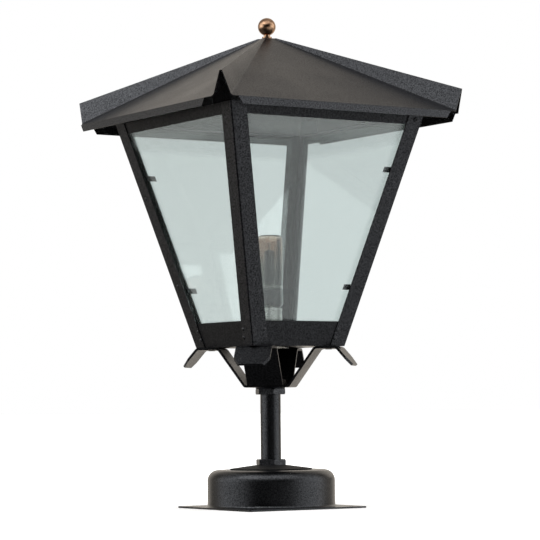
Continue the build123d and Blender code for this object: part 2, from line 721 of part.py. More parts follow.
os.makedirs("parts", exist_ok=True)
for name, shape in nodes.items():
    shape.label = name
    export_step(shape, f"parts/{name}.step")
print(len(nodes), "nodes written")
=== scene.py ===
"""Post top lantern: its finishes, its small fastenings and lamp parts, a pale studio and the camera.

Metres, +Z up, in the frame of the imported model.
"""
import json
import math

import bmesh
import bpy
from mathutils import Matrix, Vector


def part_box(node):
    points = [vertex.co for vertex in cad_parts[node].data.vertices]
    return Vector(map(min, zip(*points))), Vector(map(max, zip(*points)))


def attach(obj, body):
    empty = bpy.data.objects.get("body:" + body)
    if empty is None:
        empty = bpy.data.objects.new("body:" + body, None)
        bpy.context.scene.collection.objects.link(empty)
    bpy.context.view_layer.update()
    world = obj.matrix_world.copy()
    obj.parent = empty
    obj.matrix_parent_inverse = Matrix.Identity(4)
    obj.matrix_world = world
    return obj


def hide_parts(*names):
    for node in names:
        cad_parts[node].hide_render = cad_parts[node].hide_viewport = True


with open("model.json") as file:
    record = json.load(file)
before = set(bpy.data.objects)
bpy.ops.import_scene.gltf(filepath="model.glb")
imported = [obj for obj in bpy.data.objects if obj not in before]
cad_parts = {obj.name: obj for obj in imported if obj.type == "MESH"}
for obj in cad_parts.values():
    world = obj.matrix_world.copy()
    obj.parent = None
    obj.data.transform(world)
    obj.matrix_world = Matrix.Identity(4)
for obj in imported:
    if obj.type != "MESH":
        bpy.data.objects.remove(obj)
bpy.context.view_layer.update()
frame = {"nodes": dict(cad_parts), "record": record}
MM = 0.001

# ---------------------------------------------------------------- helpers


def linear(hex_colour):
    """An sRGB hex colour as the linear values that shaders take."""
    channels = []
    for i in (0, 2, 4):
        c = int(hex_colour[i:i + 2], 16) / 255
        channels.append(c / 12.92 if c <= 0.04045 else ((c + 0.055) / 1.055) ** 2.4)
    return (*channels, 1.0)


def add_node(tree, kind, inputs=None, stops=(), **settings):
    """Add a node with its settings, its inputs and, for a colour ramp, its (place, hex colour) stops.

    An input given as a socket is linked, and any other value is set.
    """
    node = tree.nodes.new(kind)
    for name, value in settings.items():
        setattr(node, name, value)
    for name, value in (inputs or {}).items():
        if isinstance(value, bpy.types.NodeSocket):
            tree.links.new(value, node.inputs[name])
        else:
            node.inputs[name].default_value = value
    for number, (place, colour) in enumerate(stops):
        elements = node.color_ramp.elements
        element = elements[number] if number < len(elements) else elements.new(place)
        element.position, element.color = place, linear(colour)
    return node


def new_material(name):
    """An empty node material and its output node."""
    material = bpy.data.materials.new(name)
    material.use_nodes = True
    material.node_tree.nodes.clear()
    return material, material.node_tree, add_node(material.node_tree, "ShaderNodeOutputMaterial")


# ---------------------------------------------------------------- finishes

paint_cloud_mm = 60  # how far apart the coat's duller and brighter areas lie on a sheet
glass_wave_mm = 90  # how far apart the slow waves in the glass lie
band_cloud_mm = 7  # how wide the clouds in the lamp glass's bands are
band_drift = 0.03  # how far these clouds shift the bands, as a share of the glass's height
reflection_start_z, reflection_full_z = 0.436, 0.452  # heights between which a painted reflection thickens the panes' film
film_roughness = 0.6
shaded_below, lit_above = -0.26, -0.1  # Z of a face's normal, between faces given a painted shade and open faces
pane_edge = "1c2422"
coat_ior, pane_ior, lamp_ior, moulded_ior = 1.5, 1.52, 1.5, 1.5


def structure_paint(name, dark, pale, grain_mm, grain_depth_mm, roughness, speckle, sheen=0.5, shaded_sheen_share=1.0):
    """Polyester powder coat with a fine orange-peel structure, sprayed and baked on steel sheet.

    The eye sees near black with a soft sheen, broken into grains about as wide as the coat's structure.
    The real structure is about 0.5 mm; it is drawn coarser so that it shows from a few metres.
    Faces that look down keep only part of the sheen, the share shelter: a painted shade on undersides.
    """
    material, tree, output = new_material(name)
    place = add_node(tree, "ShaderNodeTexCoord").outputs["Object"]
    grain = add_node(tree, "ShaderNodeTexNoise", {
        "Vector": place, "Scale": 1 / (grain_mm * MM), "Detail": 3.0, "Roughness": 0.6}).outputs["Fac"]
    cloud = add_node(tree, "ShaderNodeTexNoise", {
        "Vector": place, "Scale": 1 / (paint_cloud_mm * MM), "Detail": 2.0, "Roughness": 0.5}).outputs["Fac"]
    colour = add_node(tree, "ShaderNodeValToRGB", {"Fac": grain},
                      stops=((0.35, dark), (0.72, pale))).outputs["Color"]
    rough = add_node(tree, "ShaderNodeMapRange", {
        "Value": cloud, "From Min": 0.3, "From Max": 0.7,
        "To Min": roughness - 0.04, "To Max": roughness + 0.05}).outputs["Result"]
    bump = add_node(tree, "ShaderNodeBump", {
        "Height": grain, "Strength": 1.0, "Distance": grain_depth_mm * MM}).outputs["Normal"]
    gloss = add_node(tree, "ShaderNodeMapRange", {
        "Value": grain, "From Min": 0.35, "From Max": 0.65,
        "To Min": sheen - speckle, "To Max": sheen + speckle}).outputs["Result"]
    # painted shade: faces that look down keep only part of their sheen
    if shaded_sheen_share < 1.0:
        facing = add_node(tree, "ShaderNodeNewGeometry").outputs["True Normal"]
        facing_up = add_node(tree, "ShaderNodeSeparateXYZ", {"Vector": facing}).outputs["Z"]
        painted_shade_factor = add_node(tree, "ShaderNodeMapRange", {
            "Value": facing_up, "From Min": shaded_below, "From Max": lit_above,
            "To Min": shaded_sheen_share, "To Max": 1.0}, interpolation_type="SMOOTHSTEP").outputs["Result"]
        gloss = add_node(tree, "ShaderNodeMath", {0: gloss, 1: painted_shade_factor}, operation="MULTIPLY").outputs["Value"]
    shader = add_node(tree, "ShaderNodeBsdfPrincipled", {
        "Base Color": colour, "Roughness": rough, "IOR": coat_ior,
        "Specular IOR Level": gloss, "Normal": bump})
    tree.links.new(shader.outputs["BSDF"], output.inputs["Surface"])
    return material


def clear_glass(name, tint, film=0.0, roughness=0.0, ripple_mm=0.0, top_film=None):
    """Clear or frosted glass with a faint tint; lamps light what is behind it.

    A pane also has a thin film of dust. Towards the eaves the film thickens from film to top_film,
    as a painted reflection of the bright room. Faces that carry the ground_edge attribute are dull and dark
    green.
    """
    material, tree, output = new_material(name)
    place = add_node(tree, "ShaderNodeTexCoord").outputs["Object"]
    glass = add_node(tree, "ShaderNodeBsdfPrincipled", {
        "Base Color": linear(tint), "Roughness": roughness, "IOR": pane_ior, "Transmission Weight": 1.0})
    if ripple_mm:
        ripple = add_node(tree, "ShaderNodeTexNoise", {
            "Vector": place, "Scale": 1 / (glass_wave_mm * MM), "Detail": 1.0})
        bump = add_node(tree, "ShaderNodeBump", {
            "Height": ripple.outputs["Fac"], "Strength": 1.0, "Distance": ripple_mm * MM})
        tree.links.new(bump.outputs["Normal"], glass.inputs["Normal"])
    surface = glass.outputs["BSDF"]
    if top_film is not None:
        height = add_node(tree, "ShaderNodeSeparateXYZ", {"Vector": place}).outputs["Z"]
        # painted reflection: the pale film thickens towards the eaves
        dust_and_reflection = add_node(tree, "ShaderNodeMapRange", {
            "Value": height, "From Min": reflection_start_z, "From Max": reflection_full_z,
            "To Min": film, "To Max": top_film}, interpolation_type="SMOOTHSTEP").outputs["Result"]
        ground = add_node(tree, "ShaderNodeAttribute", attribute_name="ground_edge").outputs["Fac"]
        dull_share = add_node(tree, "ShaderNodeMath", {0: dust_and_reflection, 1: ground}, operation="MAXIMUM")
        dull_colour = add_node(tree, "ShaderNodeValToRGB", {"Fac": ground},
                               stops=((0.0, tint), (1.0, pane_edge)))
        dull = add_node(tree, "ShaderNodeBsdfPrincipled", {
            "Base Color": dull_colour.outputs["Color"], "Roughness": film_roughness})
        surface = add_node(tree, "ShaderNodeMixShader", {
            0: dull_share.outputs["Value"], 1: surface, 2: dull.outputs["BSDF"]}).outputs["Shader"]
    path = add_node(tree, "ShaderNodeLightPath")
    lamps_pass = add_node(tree, "ShaderNodeBsdfTransparent", {"Color": linear(tint)})
    either = add_node(tree, "ShaderNodeMath", {
        0: path.outputs["Is Shadow Ray"], 1: path.outputs["Is Diffuse Ray"]}, operation="MAXIMUM")
    mixed = add_node(tree, "ShaderNodeMixShader", {
        0: either.outputs["Value"], 1: surface, 2: lamps_pass.outputs["BSDF"]})
    tree.links.new(mixed.outputs["Shader"], output.inputs["Surface"])
    return material


def banded_lamp_glass(name, stops):
    """A lamp's drawn glass tinted in bands by height from foot to crown, with painted highlights in a light
    band and at the crown's rim.
    """
    material, tree, output = new_material(name)
    low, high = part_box("lamp_glass")
    place = add_node(tree, "ShaderNodeTexCoord").outputs["Object"]
    height = add_node(tree, "ShaderNodeSeparateXYZ", {"Vector": place}).outputs["Z"]
    share = add_node(tree, "ShaderNodeMapRange", {
        "Value": height, "From Min": low[2], "From Max": high[2], "To Min": 0.0, "To Max": 1.0})
    cloud = add_node(tree, "ShaderNodeTexNoise", {
        "Vector": place, "Scale": 1 / (band_cloud_mm * MM), "Detail": 3.0})
    drift = add_node(tree, "ShaderNodeMapRange", {
        "Value": cloud.outputs["Fac"], "From Min": 0.3, "From Max": 0.7,
        "To Min": -band_drift, "To Max": band_drift})
    mottled = add_node(tree, "ShaderNodeMath", {0: share.outputs["Result"], 1: drift.outputs["Result"]})
    # painted highlights: the light band and the pale rim at the crown
    bands = add_node(tree, "ShaderNodeValToRGB", {"Fac": mottled.outputs["Value"]},
                       stops=stops).outputs["Color"]
    shader = add_node(tree, "ShaderNodeBsdfPrincipled", {
        "Base Color": bands, "Roughness": 0.0, "IOR": lamp_ior, "Transmission Weight": 1.0})
    tree.links.new(shader.outputs["BSDF"], output.inputs["Surface"])
    return material


def metal(name, dark, pale, roughness, patch_mm):
    """A bare or plated metal whose tone and roughness vary in patches."""
    material, tree, output = new_material(name)
    place = add_node(tree, "ShaderNodeTexCoord").outputs["Object"]
    patch = add_node(tree, "ShaderNodeTexNoise", {
        "Vector": place, "Scale": 1 / (patch_mm * MM), "Detail": 4.0, "Roughness": 0.6}).outputs["Fac"]
    colour = add_node(tree, "ShaderNodeValToRGB", {"Fac": patch},
                      stops=((0.3, dark), (0.7, pale))).outputs["Color"]
    rough = add_node(tree, "ShaderNodeMapRange", {
        "Value": patch, "From Min": 0.3, "From Max": 0.7,
        "To Min": roughness - 0.05, "To Max": roughness + 0.08}).outputs["Result"]
    shader = add_node(tree, "ShaderNodeBsdfPrincipled", {
        "Base Color": colour, "Roughness": rough, "Metallic": 1.0})
    tree.links.new(shader.outputs["BSDF"], output.inputs["Surface"])
    return material


def moulded(name, dark, pale, roughness, grain_mm, grain_depth_mm):
    """A moulded plastic or glazed ceramic: even colour, slight mottling and a soft surface wave."""
    material, tree, output = new_material(name)
    place = add_node(tree, "ShaderNodeTexCoord").outputs["Object"]
    grain = add_node(tree, "ShaderNodeTexNoise", {
        "Vector": place, "Scale": 1 / (grain_mm * MM), "Detail": 2.0}).outputs["Fac"]
    colour = add_node(tree, "ShaderNodeValToRGB", {"Fac": grain},
                      stops=((0.3, dark), (0.7, pale))).outputs["Color"]
    bump = add_node(tree, "ShaderNodeBump", {
        "Height": grain, "Strength": 1.0, "Distance": grain_depth_mm * MM}).outputs["Normal"]
    shader = add_node(tree, "ShaderNodeBsdfPrincipled", {
        "Base Color": colour, "Roughness": roughness, "IOR": moulded_ior, "Normal": bump})
    tree.links.new(shader.outputs["BSDF"], output.inputs["Surface"])
    return material


lamp_bands = (  # share of the glass's height, colour: dark collar, light band that is a painted highlight, grey, brown crown, pale rim that is a painted highlight
    (0.0, "d9d8d4"), (0.05, "6a726e"), (0.22, "606a66"), (0.27, "8a8f8b"), (0.3, "d4d6d2"), (0.33, "8c918c"),
    (0.42, "8a8d87"), (0.6, "9a958c"), (0.78, "b3a090"), (0.93, "bfa897"), (0.97, "e0d6cc"), (1.0, "f2eee8"))

finishes = {
    # frame sheets, nuts and rivets: black with a clear sparkle of grains
    "black_paint": structure_paint(
        "powder_coat_fine_structure", "050506", "131316", grain_mm=1.9, grain_depth_mm=0.2,
        roughness=0.33, speckle=0.3),
    # roof: finer grains, and an underside that stays almost without sheen, a painted shade
    "hood_paint": structure_paint(
        "powder_coat_hood", "050506", "131316", grain_mm=1.5, grain_depth_mm=0.17,
        roughness=0.33, speckle=0.3, shaded_sheen_share=0.04),
    # cradle: under the body, darker and with less sheen as a painted shade, least on faces that look down
    "cradle_paint": structure_paint(
        "powder_coat_cradle", "040405", "0e0e10", grain_mm=1.9, grain_depth_mm=0.2,
        roughness=0.33, speckle=0.17, sheen=0.33, shaded_sheen_share=0.45),
    # rails: flatter grains and an even, lower sheen; the lower sheen and darker grains are a painted shade
    # that keeps the rails darker than the stiles
    "rail_paint": structure_paint(
        "powder_coat_rails", "050506", "111113", grain_mm=1.9, grain_depth_mm=0.14,
        roughness=0.35, speckle=0.15, sheen=0.34),
    # pressed base and stem: the coat ran smooth, so they show broad soft highlights on deep black
    "smooth_paint": structure_paint(
        "powder_coat_smooth", "020203", "060607", grain_mm=1.5, grain_depth_mm=0.06,
        roughness=0.27, speckle=0.25, sheen=0.47),
    # disc on the dome: a dull dry black
    "matte_paint": structure_paint(
        "powder_coat_matte", "080807", "10100f", grain_mm=1.6, grain_depth_mm=0.1,
        roughness=0.66, speckle=0.1, sheen=0.2),
    # panes: a faint green, slightly wavy reflections, a thin dust haze, and a painted reflection that
    # thickens the film under the eaves
    "window_glass": clear_glass("float_glass", "e2e9e8", film=0.02, ripple_mm=0.015, top_film=0.12),
    # lamp: glass tinted in bands, greyer towards the foot and browner towards the crown, with painted
    # highlights in a light band and at the crown's rim
    "lamp_glass": banded_lamp_glass("drawn_lamp_glass", lamp_bands),
    # burner: a dull grey body inside the lamp's glass
    "lamp_burner_glass": clear_glass("frosted_burner_glass", "4a4a44", roughness=0.35),
    # bright plating: pale grey with soft highlights
    "plated_steel": metal("zinc_plated_steel", "8f8f8c", "b9b9b4", roughness=0.3, patch_mm=6),
    # washer under the head: near black, with the sheen of metal
    "dark_plating": metal("black_passivated_zinc", "17181a", "26272a", roughness=0.4, patch_mm=5),
    # lampholder: a warm white under a clear glaze
    "white_ceramic": moulded("glazed_steatite", "d9d5cb", "e6e3da", roughness=0.12,
                             grain_mm=12, grain_depth_mm=0.02),
    # terminal block: even and slightly dull
    "white_plastic": moulded("moulded_polyamide", "d4d4cf", "dedcd6", roughness=0.42,
                             grain_mm=0.8, grain_depth_mm=0.01),
    # stem's bush and the lamp's mount: black and slightly dull
    "black_plastic": moulded("moulded_black_polyamide", "0d0d0e", "161617", roughness=0.4,
                             grain_mm=0.8, grain_depth_mm=0.01),
    # clips: dark steel that still glints at its edges
    "clip_spring_steel": metal("blackened_spring_steel", "1c1f20", "2e3233", roughness=0.35, patch_mm=4),
    # ball: polished brass gone brown, with bright highlights
    "aged_bronze": metal("aged_polished_brass", "5e4331", "d3a985", roughness=0.2, patch_mm=9),
}
finish_groups = {  # pieces whose names begin like this have a finish of their own
    "hood_paint": ("roof",),
    "rail_paint": ("top_rail", "bottom_rail"),
    "cradle_paint": ("cradle",),
    "smooth_paint": ("base_flange", "stem_tube", "stem_nut_inner"),
    "matte_paint": ("cover_disc",),
    "dark_plating": ("head_washer",),
}


def finish_of(row):
    """The finish of one of the record's pieces; the roof's screws keep that of their slot."""
    for finish, beginnings in finish_groups.items():
        if row["node"].startswith(beginnings) and not row["node"].startswith("roof_screws"):
            return finishes[finish]
    return finishes[row["material_slot"]]


rows = {row["node"]: row for row in frame["record"]["subparts"] if row["node"] in frame["nodes"]}
for name, row in rows.items():
    for material_slot in frame["nodes"][name].material_slots:
        material_slot.material = finish_of(row)

# ---------------------------------------------------------------- small fastenings

side_lean = math.radians(14.37)
weld_distance = 0.01 * MM  # for the CAD nodes' loose triangles
spin_weld = weld_distance / 10  # for new shapes
level_slack = 0.05 * MM  # points this close in height lie on the same end of a pin
rim_share = 0.95  # points past this share of the head's radius lie on its rim
pane_face = 0.9  # faces turned further from the pane's normal than this are its edges
sharp_angle = math.radians(35)
quarter = math.radians(90)
head_steps = 28
head_rings = 8
pan_flat = 0.55  # share of a pan head's radius that is flat
recess_bars = {"slot": ((2.4, 0.3),), "cross": ((1.15, 0.24), (0.24, 1.15))}
recess_share = 0.55  # of the head's height or radius, whichever is smaller
first_recess_turn, next_recess_turn = 25, 40  # degrees, as screws stop where they are tight


def solids_of(node_name):
    """The points of each separate solid of a CAD node, always in the same order."""
    mesh = bmesh.new()
    mesh.from_mesh(frame["nodes"][node_name].data)
    bmesh.ops.remove_doubles(mesh, verts=mesh.verts, dist=weld_distance)
    seen = set()
    solids = []
    for first in mesh.verts:
        if first in seen:
            continue
        seen.add(first)
        found = [first]
        for vertex in found:
            for edge in vertex.link_edges:
                other = edge.other_vert(vertex)
                if other not in seen:
                    seen.add(other)
                    found.append(other)
        solids.append([vertex.co.copy() for vertex in found])
    mesh.free()
    return solids


def outwards(points):
    """The outward normal of the side on which a solid sits."""
    middle = sum(points, Vector()) / len(points)
    side = round(math.atan2(middle.y, middle.x) / (math.pi / 2)) * math.pi / 2
    return Vector((math.cos(side) * math.cos(side_lean), math.sin(side) * math.cos(side_lean),
                   -math.sin(side_lean)))


def upwards(points):
    """The direction of a screw that is driven from above, whatever its points."""
    return Vector((0, 0, 1))


def measure_pin(points, axis):
    """Where a headed pin sits, and its sizes.

    Gives its place matrix, its length, its head's radius and height, and its shank's radius.
    """
    heights = [point.dot(axis) for point in points]
    low, high = min(heights), max(heights)
    top = [point for point, height in zip(points, heights) if height > high - level_slack]
    centre = sum(top, Vector()) / len(top)
    reach = [(point - centre - axis * (point - centre).dot(axis)).length for point in points]
    head_radius = max(reach)
    head_low = min(height for height, r in zip(heights, reach) if r > rim_share * head_radius)
    thin = [r for height, r in zip(heights, reach) if height < low + level_slack]
    base = centre + axis * (low - centre.dot(axis))
    place = Matrix.Translation(base) @ axis.to_track_quat("Z", "Y").to_matrix().to_4x4()
    return place, high - low, head_radius, high - head_low, max(thin)


def turn(mesh, profile, place, steps=head_steps):
    """Spin a profile of (radius, height) points about the place's own Z axis, and close it."""
    points = [mesh.verts.new(place @ Vector((radius, 0, height))) for radius, height in profile]
    edges = [mesh.edges.new(pair) for pair in zip(points, points[1:])]
    bmesh.ops.spin(mesh, geom=points + edges, cent=place.translation, axis=place.to_3x3() @ Vector((0, 0, 1)),
                   dvec=(0, 0, 0), angle=2 * math.pi, steps=steps, use_merge=True)
    bmesh.ops.remove_doubles(mesh, verts=mesh.verts, dist=spin_weld)


def round_head(length, head_radius, head_height, shank_radius, flat_top=0.0):
    """Profile of a pin with a domed head; flat_top is the part of the radius that stays flat."""
    seat = length - head_height
    profile = [(0, 0), (shank_radius, 0), (shank_radius, seat), (head_radius, seat)]
    for i in range(1, head_rings + 1):
        angle = quarter * i / head_rings
        radius = head_radius * (flat_top + (1 - flat_top) * math.cos(angle))
        profile.append((radius, seat + head_height * math.sin(angle)))
    if flat_top:
        profile.append((0, length))
    return profile


def box_cutter(mesh, place, length, width, bottom, top):
    """A box that cuts a slot, in the pin's own frame."""
    size = Matrix.Diagonal((length, width, top - bottom, 1))
    middle = Matrix.Translation((0, 0, (top + bottom) / 2))
    bmesh.ops.create_cube(mesh, size=1, matrix=place @ middle @ size)


def object_from(mesh, name):
    """Finish a mesh: normals out, sharp corners kept, one object at the origin."""
    bmesh.ops.recalc_face_normals(mesh, faces=mesh.faces)
    for face in mesh.faces:
        face.smooth = True
    for edge in mesh.edges:
        if len(edge.link_faces) == 2 and edge.calc_face_angle() > sharp_angle:
            edge.smooth = False
    data = bpy.data.meshes.new(name)
    mesh.to_mesh(data)
    mesh.free()
    piece = bpy.data.objects.new(name, data)
    bpy.context.scene.collection.objects.link(piece)
    return piece


def cut_from(piece, cutter):
    """Take the cutter's volume out of the piece for good."""
    modifier = piece.modifiers.new("recess", "BOOLEAN")
    modifier.operation = "DIFFERENCE"
    modifier.solver = "EXACT"
    modifier.object = cutter
    bpy.context.view_layer.update()
    evaluated = piece.evaluated_get(bpy.context.evaluated_depsgraph_get())
    carved = bpy.data.meshes.new_from_object(evaluated)
    piece.modifiers.clear()
    piece.data = carved
    bpy.data.objects.remove(cutter)


def dress(piece, finish, slot_name, body, *node_names):
    """Give a piece its finish and its body, and hide the CAD nodes that it stands for; slot_name is not used.
    """
    piece.data.materials.clear()
    piece.data.materials.append(finishes[finish])
    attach(piece, body)
    if node_names:
        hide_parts(*node_names)


def mark_ground_edges(pane):
    """Mark the narrow faces round a pane, for the glass finish."""
    mesh = pane.data
    square = outwards([vertex.co for vertex in mesh.vertices])
    marks = mesh.attributes.new("ground_edge", "FLOAT", "FACE")
    for face, mark in zip(mesh.polygons, marks.data):
        mark.value = float(abs(face.normal.dot(square)) < pane_face)


def make_rivets(node_name):
    """Rivets with domed heads, in place of a node's plain cylinders."""
    mesh = bmesh.new()
    for points in solids_of(node_name):
        place, length, radius, height, shank_radius = measure_pin(points, outwards(points))
        turn(mesh, round_head(length, radius, height, shank_radius), place)
    dress(object_from(mesh, f"{node_name}_domed"), "black_paint", "black_paint", "body", node_name)


def make_screws(node_name, direction, recess, finish):
    """Screws with a pan head and a slot or a cross in it, in place of a node's plain cylinders.

    The recess is cut bar by bar, each given as its length and width in head radii.
    """
    pins = [measure_pin(points, direction(points)) for points in solids_of(node_name)]
    heads = bmesh.new()
    for place, length, radius, height, shank_radius in pins:
        turn(heads, round_head(length, radius, height, shank_radius, flat_top=pan_flat), place)
    piece = object_from(heads, f"{node_name}_headed")
    for bar_length, bar_width in recess_bars[recess]:
        bars = bmesh.new()
        for number, (place, length, radius, height, _) in enumerate(pins):
            stopped_at = math.radians(first_recess_turn + next_recess_turn * number)
            turned = place @ Matrix.Rotation(stopped_at, 4, "Z")
            bottom, top = length - recess_share * min(height, radius), length + height
            box_cutter(bars, turned, bar_length * radius, bar_width * radius, bottom, top)
        cut_from(piece, object_from(bars, "recess_bars"))
    dress(piece, finish, rows[node_name]["material_slot"], "body", node_name)


for name in rows:
    if name.startswith("glass_") and rows[name]["material_slot"] == "window_glass":
        mark_ground_edges(frame["nodes"][name])
make_rivets("stile_rivets")
make_rivets("rail_rivets")
make_screws("roof_screws", outwards, "cross", "black_paint")
make_screws("terminal_screws", upwards, "slot", "plated_steel")
make_screws("lampholder_screws", upwards, "slot", "plated_steel")
make_screws("earth_screw", upwards, "cross", "plated_steel")

# ---------------------------------------------------------------- inside the lamp

lamp_steps = 48
post_gap = 0.1 * MM  # between the mount and the post
glass_gap = 2.4 * MM  # from the outside of the glass to the mount
mount_bottom, mount_top = 4.5 * MM, 23 * MM  # above the glass's foot
mount_neck_inset = 2.6 * MM
mount_chamfer = 1 * MM
mount_flare_height = 5 * MM
mount_round, mount_round_steps = 2 * MM, 6
ring_gap, ring_wall, ring_height = 0.2 * MM, 0.6 * MM, 4.2 * MM
wire_inset, wire_radius = 2.6 * MM, 0.45 * MM
wire_shoulder_share = 0.45  # of the way from the burner's top to the glass's crown
wire_bend_drop, wire_bend_reach = 4 * MM, 3 * MM
wire_hook_reach, wire_tip_reach = 0.3, 0.1  # in burner radii


def make_lamp_mount():
    """The dark moulded mount in the foot of the lamp's glass, round the post."""
    low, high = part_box("lamp_glass")
    post_radius = (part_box("lamp_post")[1][0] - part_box("lamp_post")[0][0]) / 2 + post_gap
    inner = (high[0] - low[0]) / 2 - glass_gap
    bottom, top = low[2] + mount_bottom, low[2] + mount_top
    neck = inner - mount_neck_inset
    mesh = bmesh.new()
    profile = [(post_radius, bottom), (neck - mount_chamfer, bottom), (neck, bottom + mount_chamfer),
               (inner, bottom + mount_flare_height)]
    for i in range(mount_round_steps + 1):
        angle = quarter * i / mount_round_steps
        profile.append((inner - mount_round * (1 - math.cos(angle)),
                        top - mount_round * (1 - math.sin(angle))))
    profile += [(post_radius, top), (post_radius, bottom)]
    turn(mesh, profile, Matrix.Identity(4), lamp_steps)
    dress(object_from(mesh, "lamp_mount"), "black_plastic", "black_plastic", "lamp")
    return inner, top


def make_getter_ring(radius, bottom):
    """A bright flat ring that stands on the mount."""
    inner, top = radius - ring_wall, bottom + ring_height
    mesh = bmesh.new()
    turn(mesh, [(inner, bottom), (radius, bottom), (radius, top), (inner, top), (inner, bottom)],
         Matrix.Identity(4), lamp_steps)
    dress(object_from(mesh, "lamp_getter_ring"), "plated_steel", "plated_steel", "lamp")


def make_support_wires(radius, bottom):
    """Two wires that rise from the mount and hold the burner's tip."""
    burner_radius = (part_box("lamp_burner")[1][0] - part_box("lamp_burner")[0][0]) / 2
    burner_top, glass_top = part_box("lamp_burner")[1][2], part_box("lamp_glass")[1][2]
    shoulder = burner_top + wire_shoulder_share * (glass_top - burner_top)
    curve = bpy.data.curves.new("lamp_support_wires", "CURVE")
    curve.dimensions = "3D"
    curve.bevel_depth = wire_radius
    curve.bevel_resolution = 3
    curve.use_fill_caps = True
    for side in (1, -1):
        points = [(side * radius, 0, bottom), (side * radius, 0, shoulder - wire_bend_drop),
                  (side * (radius - wire_bend_reach), 0, shoulder),
                  (side * wire_hook_reach * burner_radius, 0, shoulder),
                  (side * wire_tip_reach * burner_radius, 0, burner_top + wire_radius)]
        spline = curve.splines.new("POLY")
        spline.points.add(len(points) - 1)
        for point, place in zip(spline.points, points):
            point.co = (*place, 1)
    wires = bpy.data.objects.new("wires", curve)
    bpy.context.scene.collection.objects.link(wires)
    bpy.context.view_layer.update()
    mesh = bmesh.new()
    data = bpy.data.meshes.new_from_object(wires.evaluated_get(bpy.context.evaluated_depsgraph_get()))
    mesh.from_mesh(data)
    bpy.data.objects.remove(wires)
    bpy.data.meshes.remove(data)
    bmesh.ops.remove_doubles(mesh, verts=mesh.verts, dist=spin_weld)  # closes the wires' ends
    dress(object_from(mesh, "lamp_support_wires"), "plated_steel", "plated_steel", "lamp")


mount_radius, mount_crown = make_lamp_mount()
make_getter_ring(mount_radius, mount_crown + ring_gap)
make_support_wires(mount_radius - wire_inset, mount_crown)

# ---------------------------------------------------------------- studio

camera_azimuth = 57.616  # degrees, as the other angles
camera_distance = 2.930
camera_height = 0.12219
look_azimuth = 57.596
look_pitch = 3.294
camera_roll = -0.56
sensor_width = 36.0  # mm, as the focal length
focal_length = 159.30
nearest, farthest = 0.05, 50
ambient_strength = 0.5
floor_half_side = 60.0
floor_drop = 0.0002
shade_start, shade_end = 0.1, 0.45  # from the axis, where the floor's shade begins to fade and ends
shade_level = 0.3
aim = Vector((0, 0, 0.3))
wall_turn = 75  # degrees from the viewer to each side lamp


def make_camera():
    """The photograph's viewpoint: a little below the middle, looking slightly up, a long lens."""
    azimuth, ahead, pitch = (math.radians(a) for a in (camera_azimuth, look_azimuth, look_pitch))
    roll = math.radians(camera_roll)
    look = Vector((-math.sin(ahead) * math.cos(pitch), math.cos(ahead) * math.cos(pitch), math.sin(pitch)))
    right = look.cross(Vector((0, 0, 1))).normalized()
    up = right.cross(look)
    right, up = right * math.cos(roll) + up * math.sin(roll), up * math.cos(roll) - right * math.sin(roll)
    data = bpy.data.cameras.new("view")
    data.sensor_width = sensor_width
    data.lens = focal_length
    data.clip_start, data.clip_end = nearest, farthest
    camera = bpy.data.objects.new("view", data)
    axes = Matrix((right, up, -look)).transposed().to_4x4()
    place = (camera_distance * math.sin(azimuth), -camera_distance * math.cos(azimuth), camera_height)
    camera.matrix_world = Matrix.Translation(place) @ axes
    bpy.context.scene.collection.objects.link(camera)
    bpy.context.scene.camera = camera


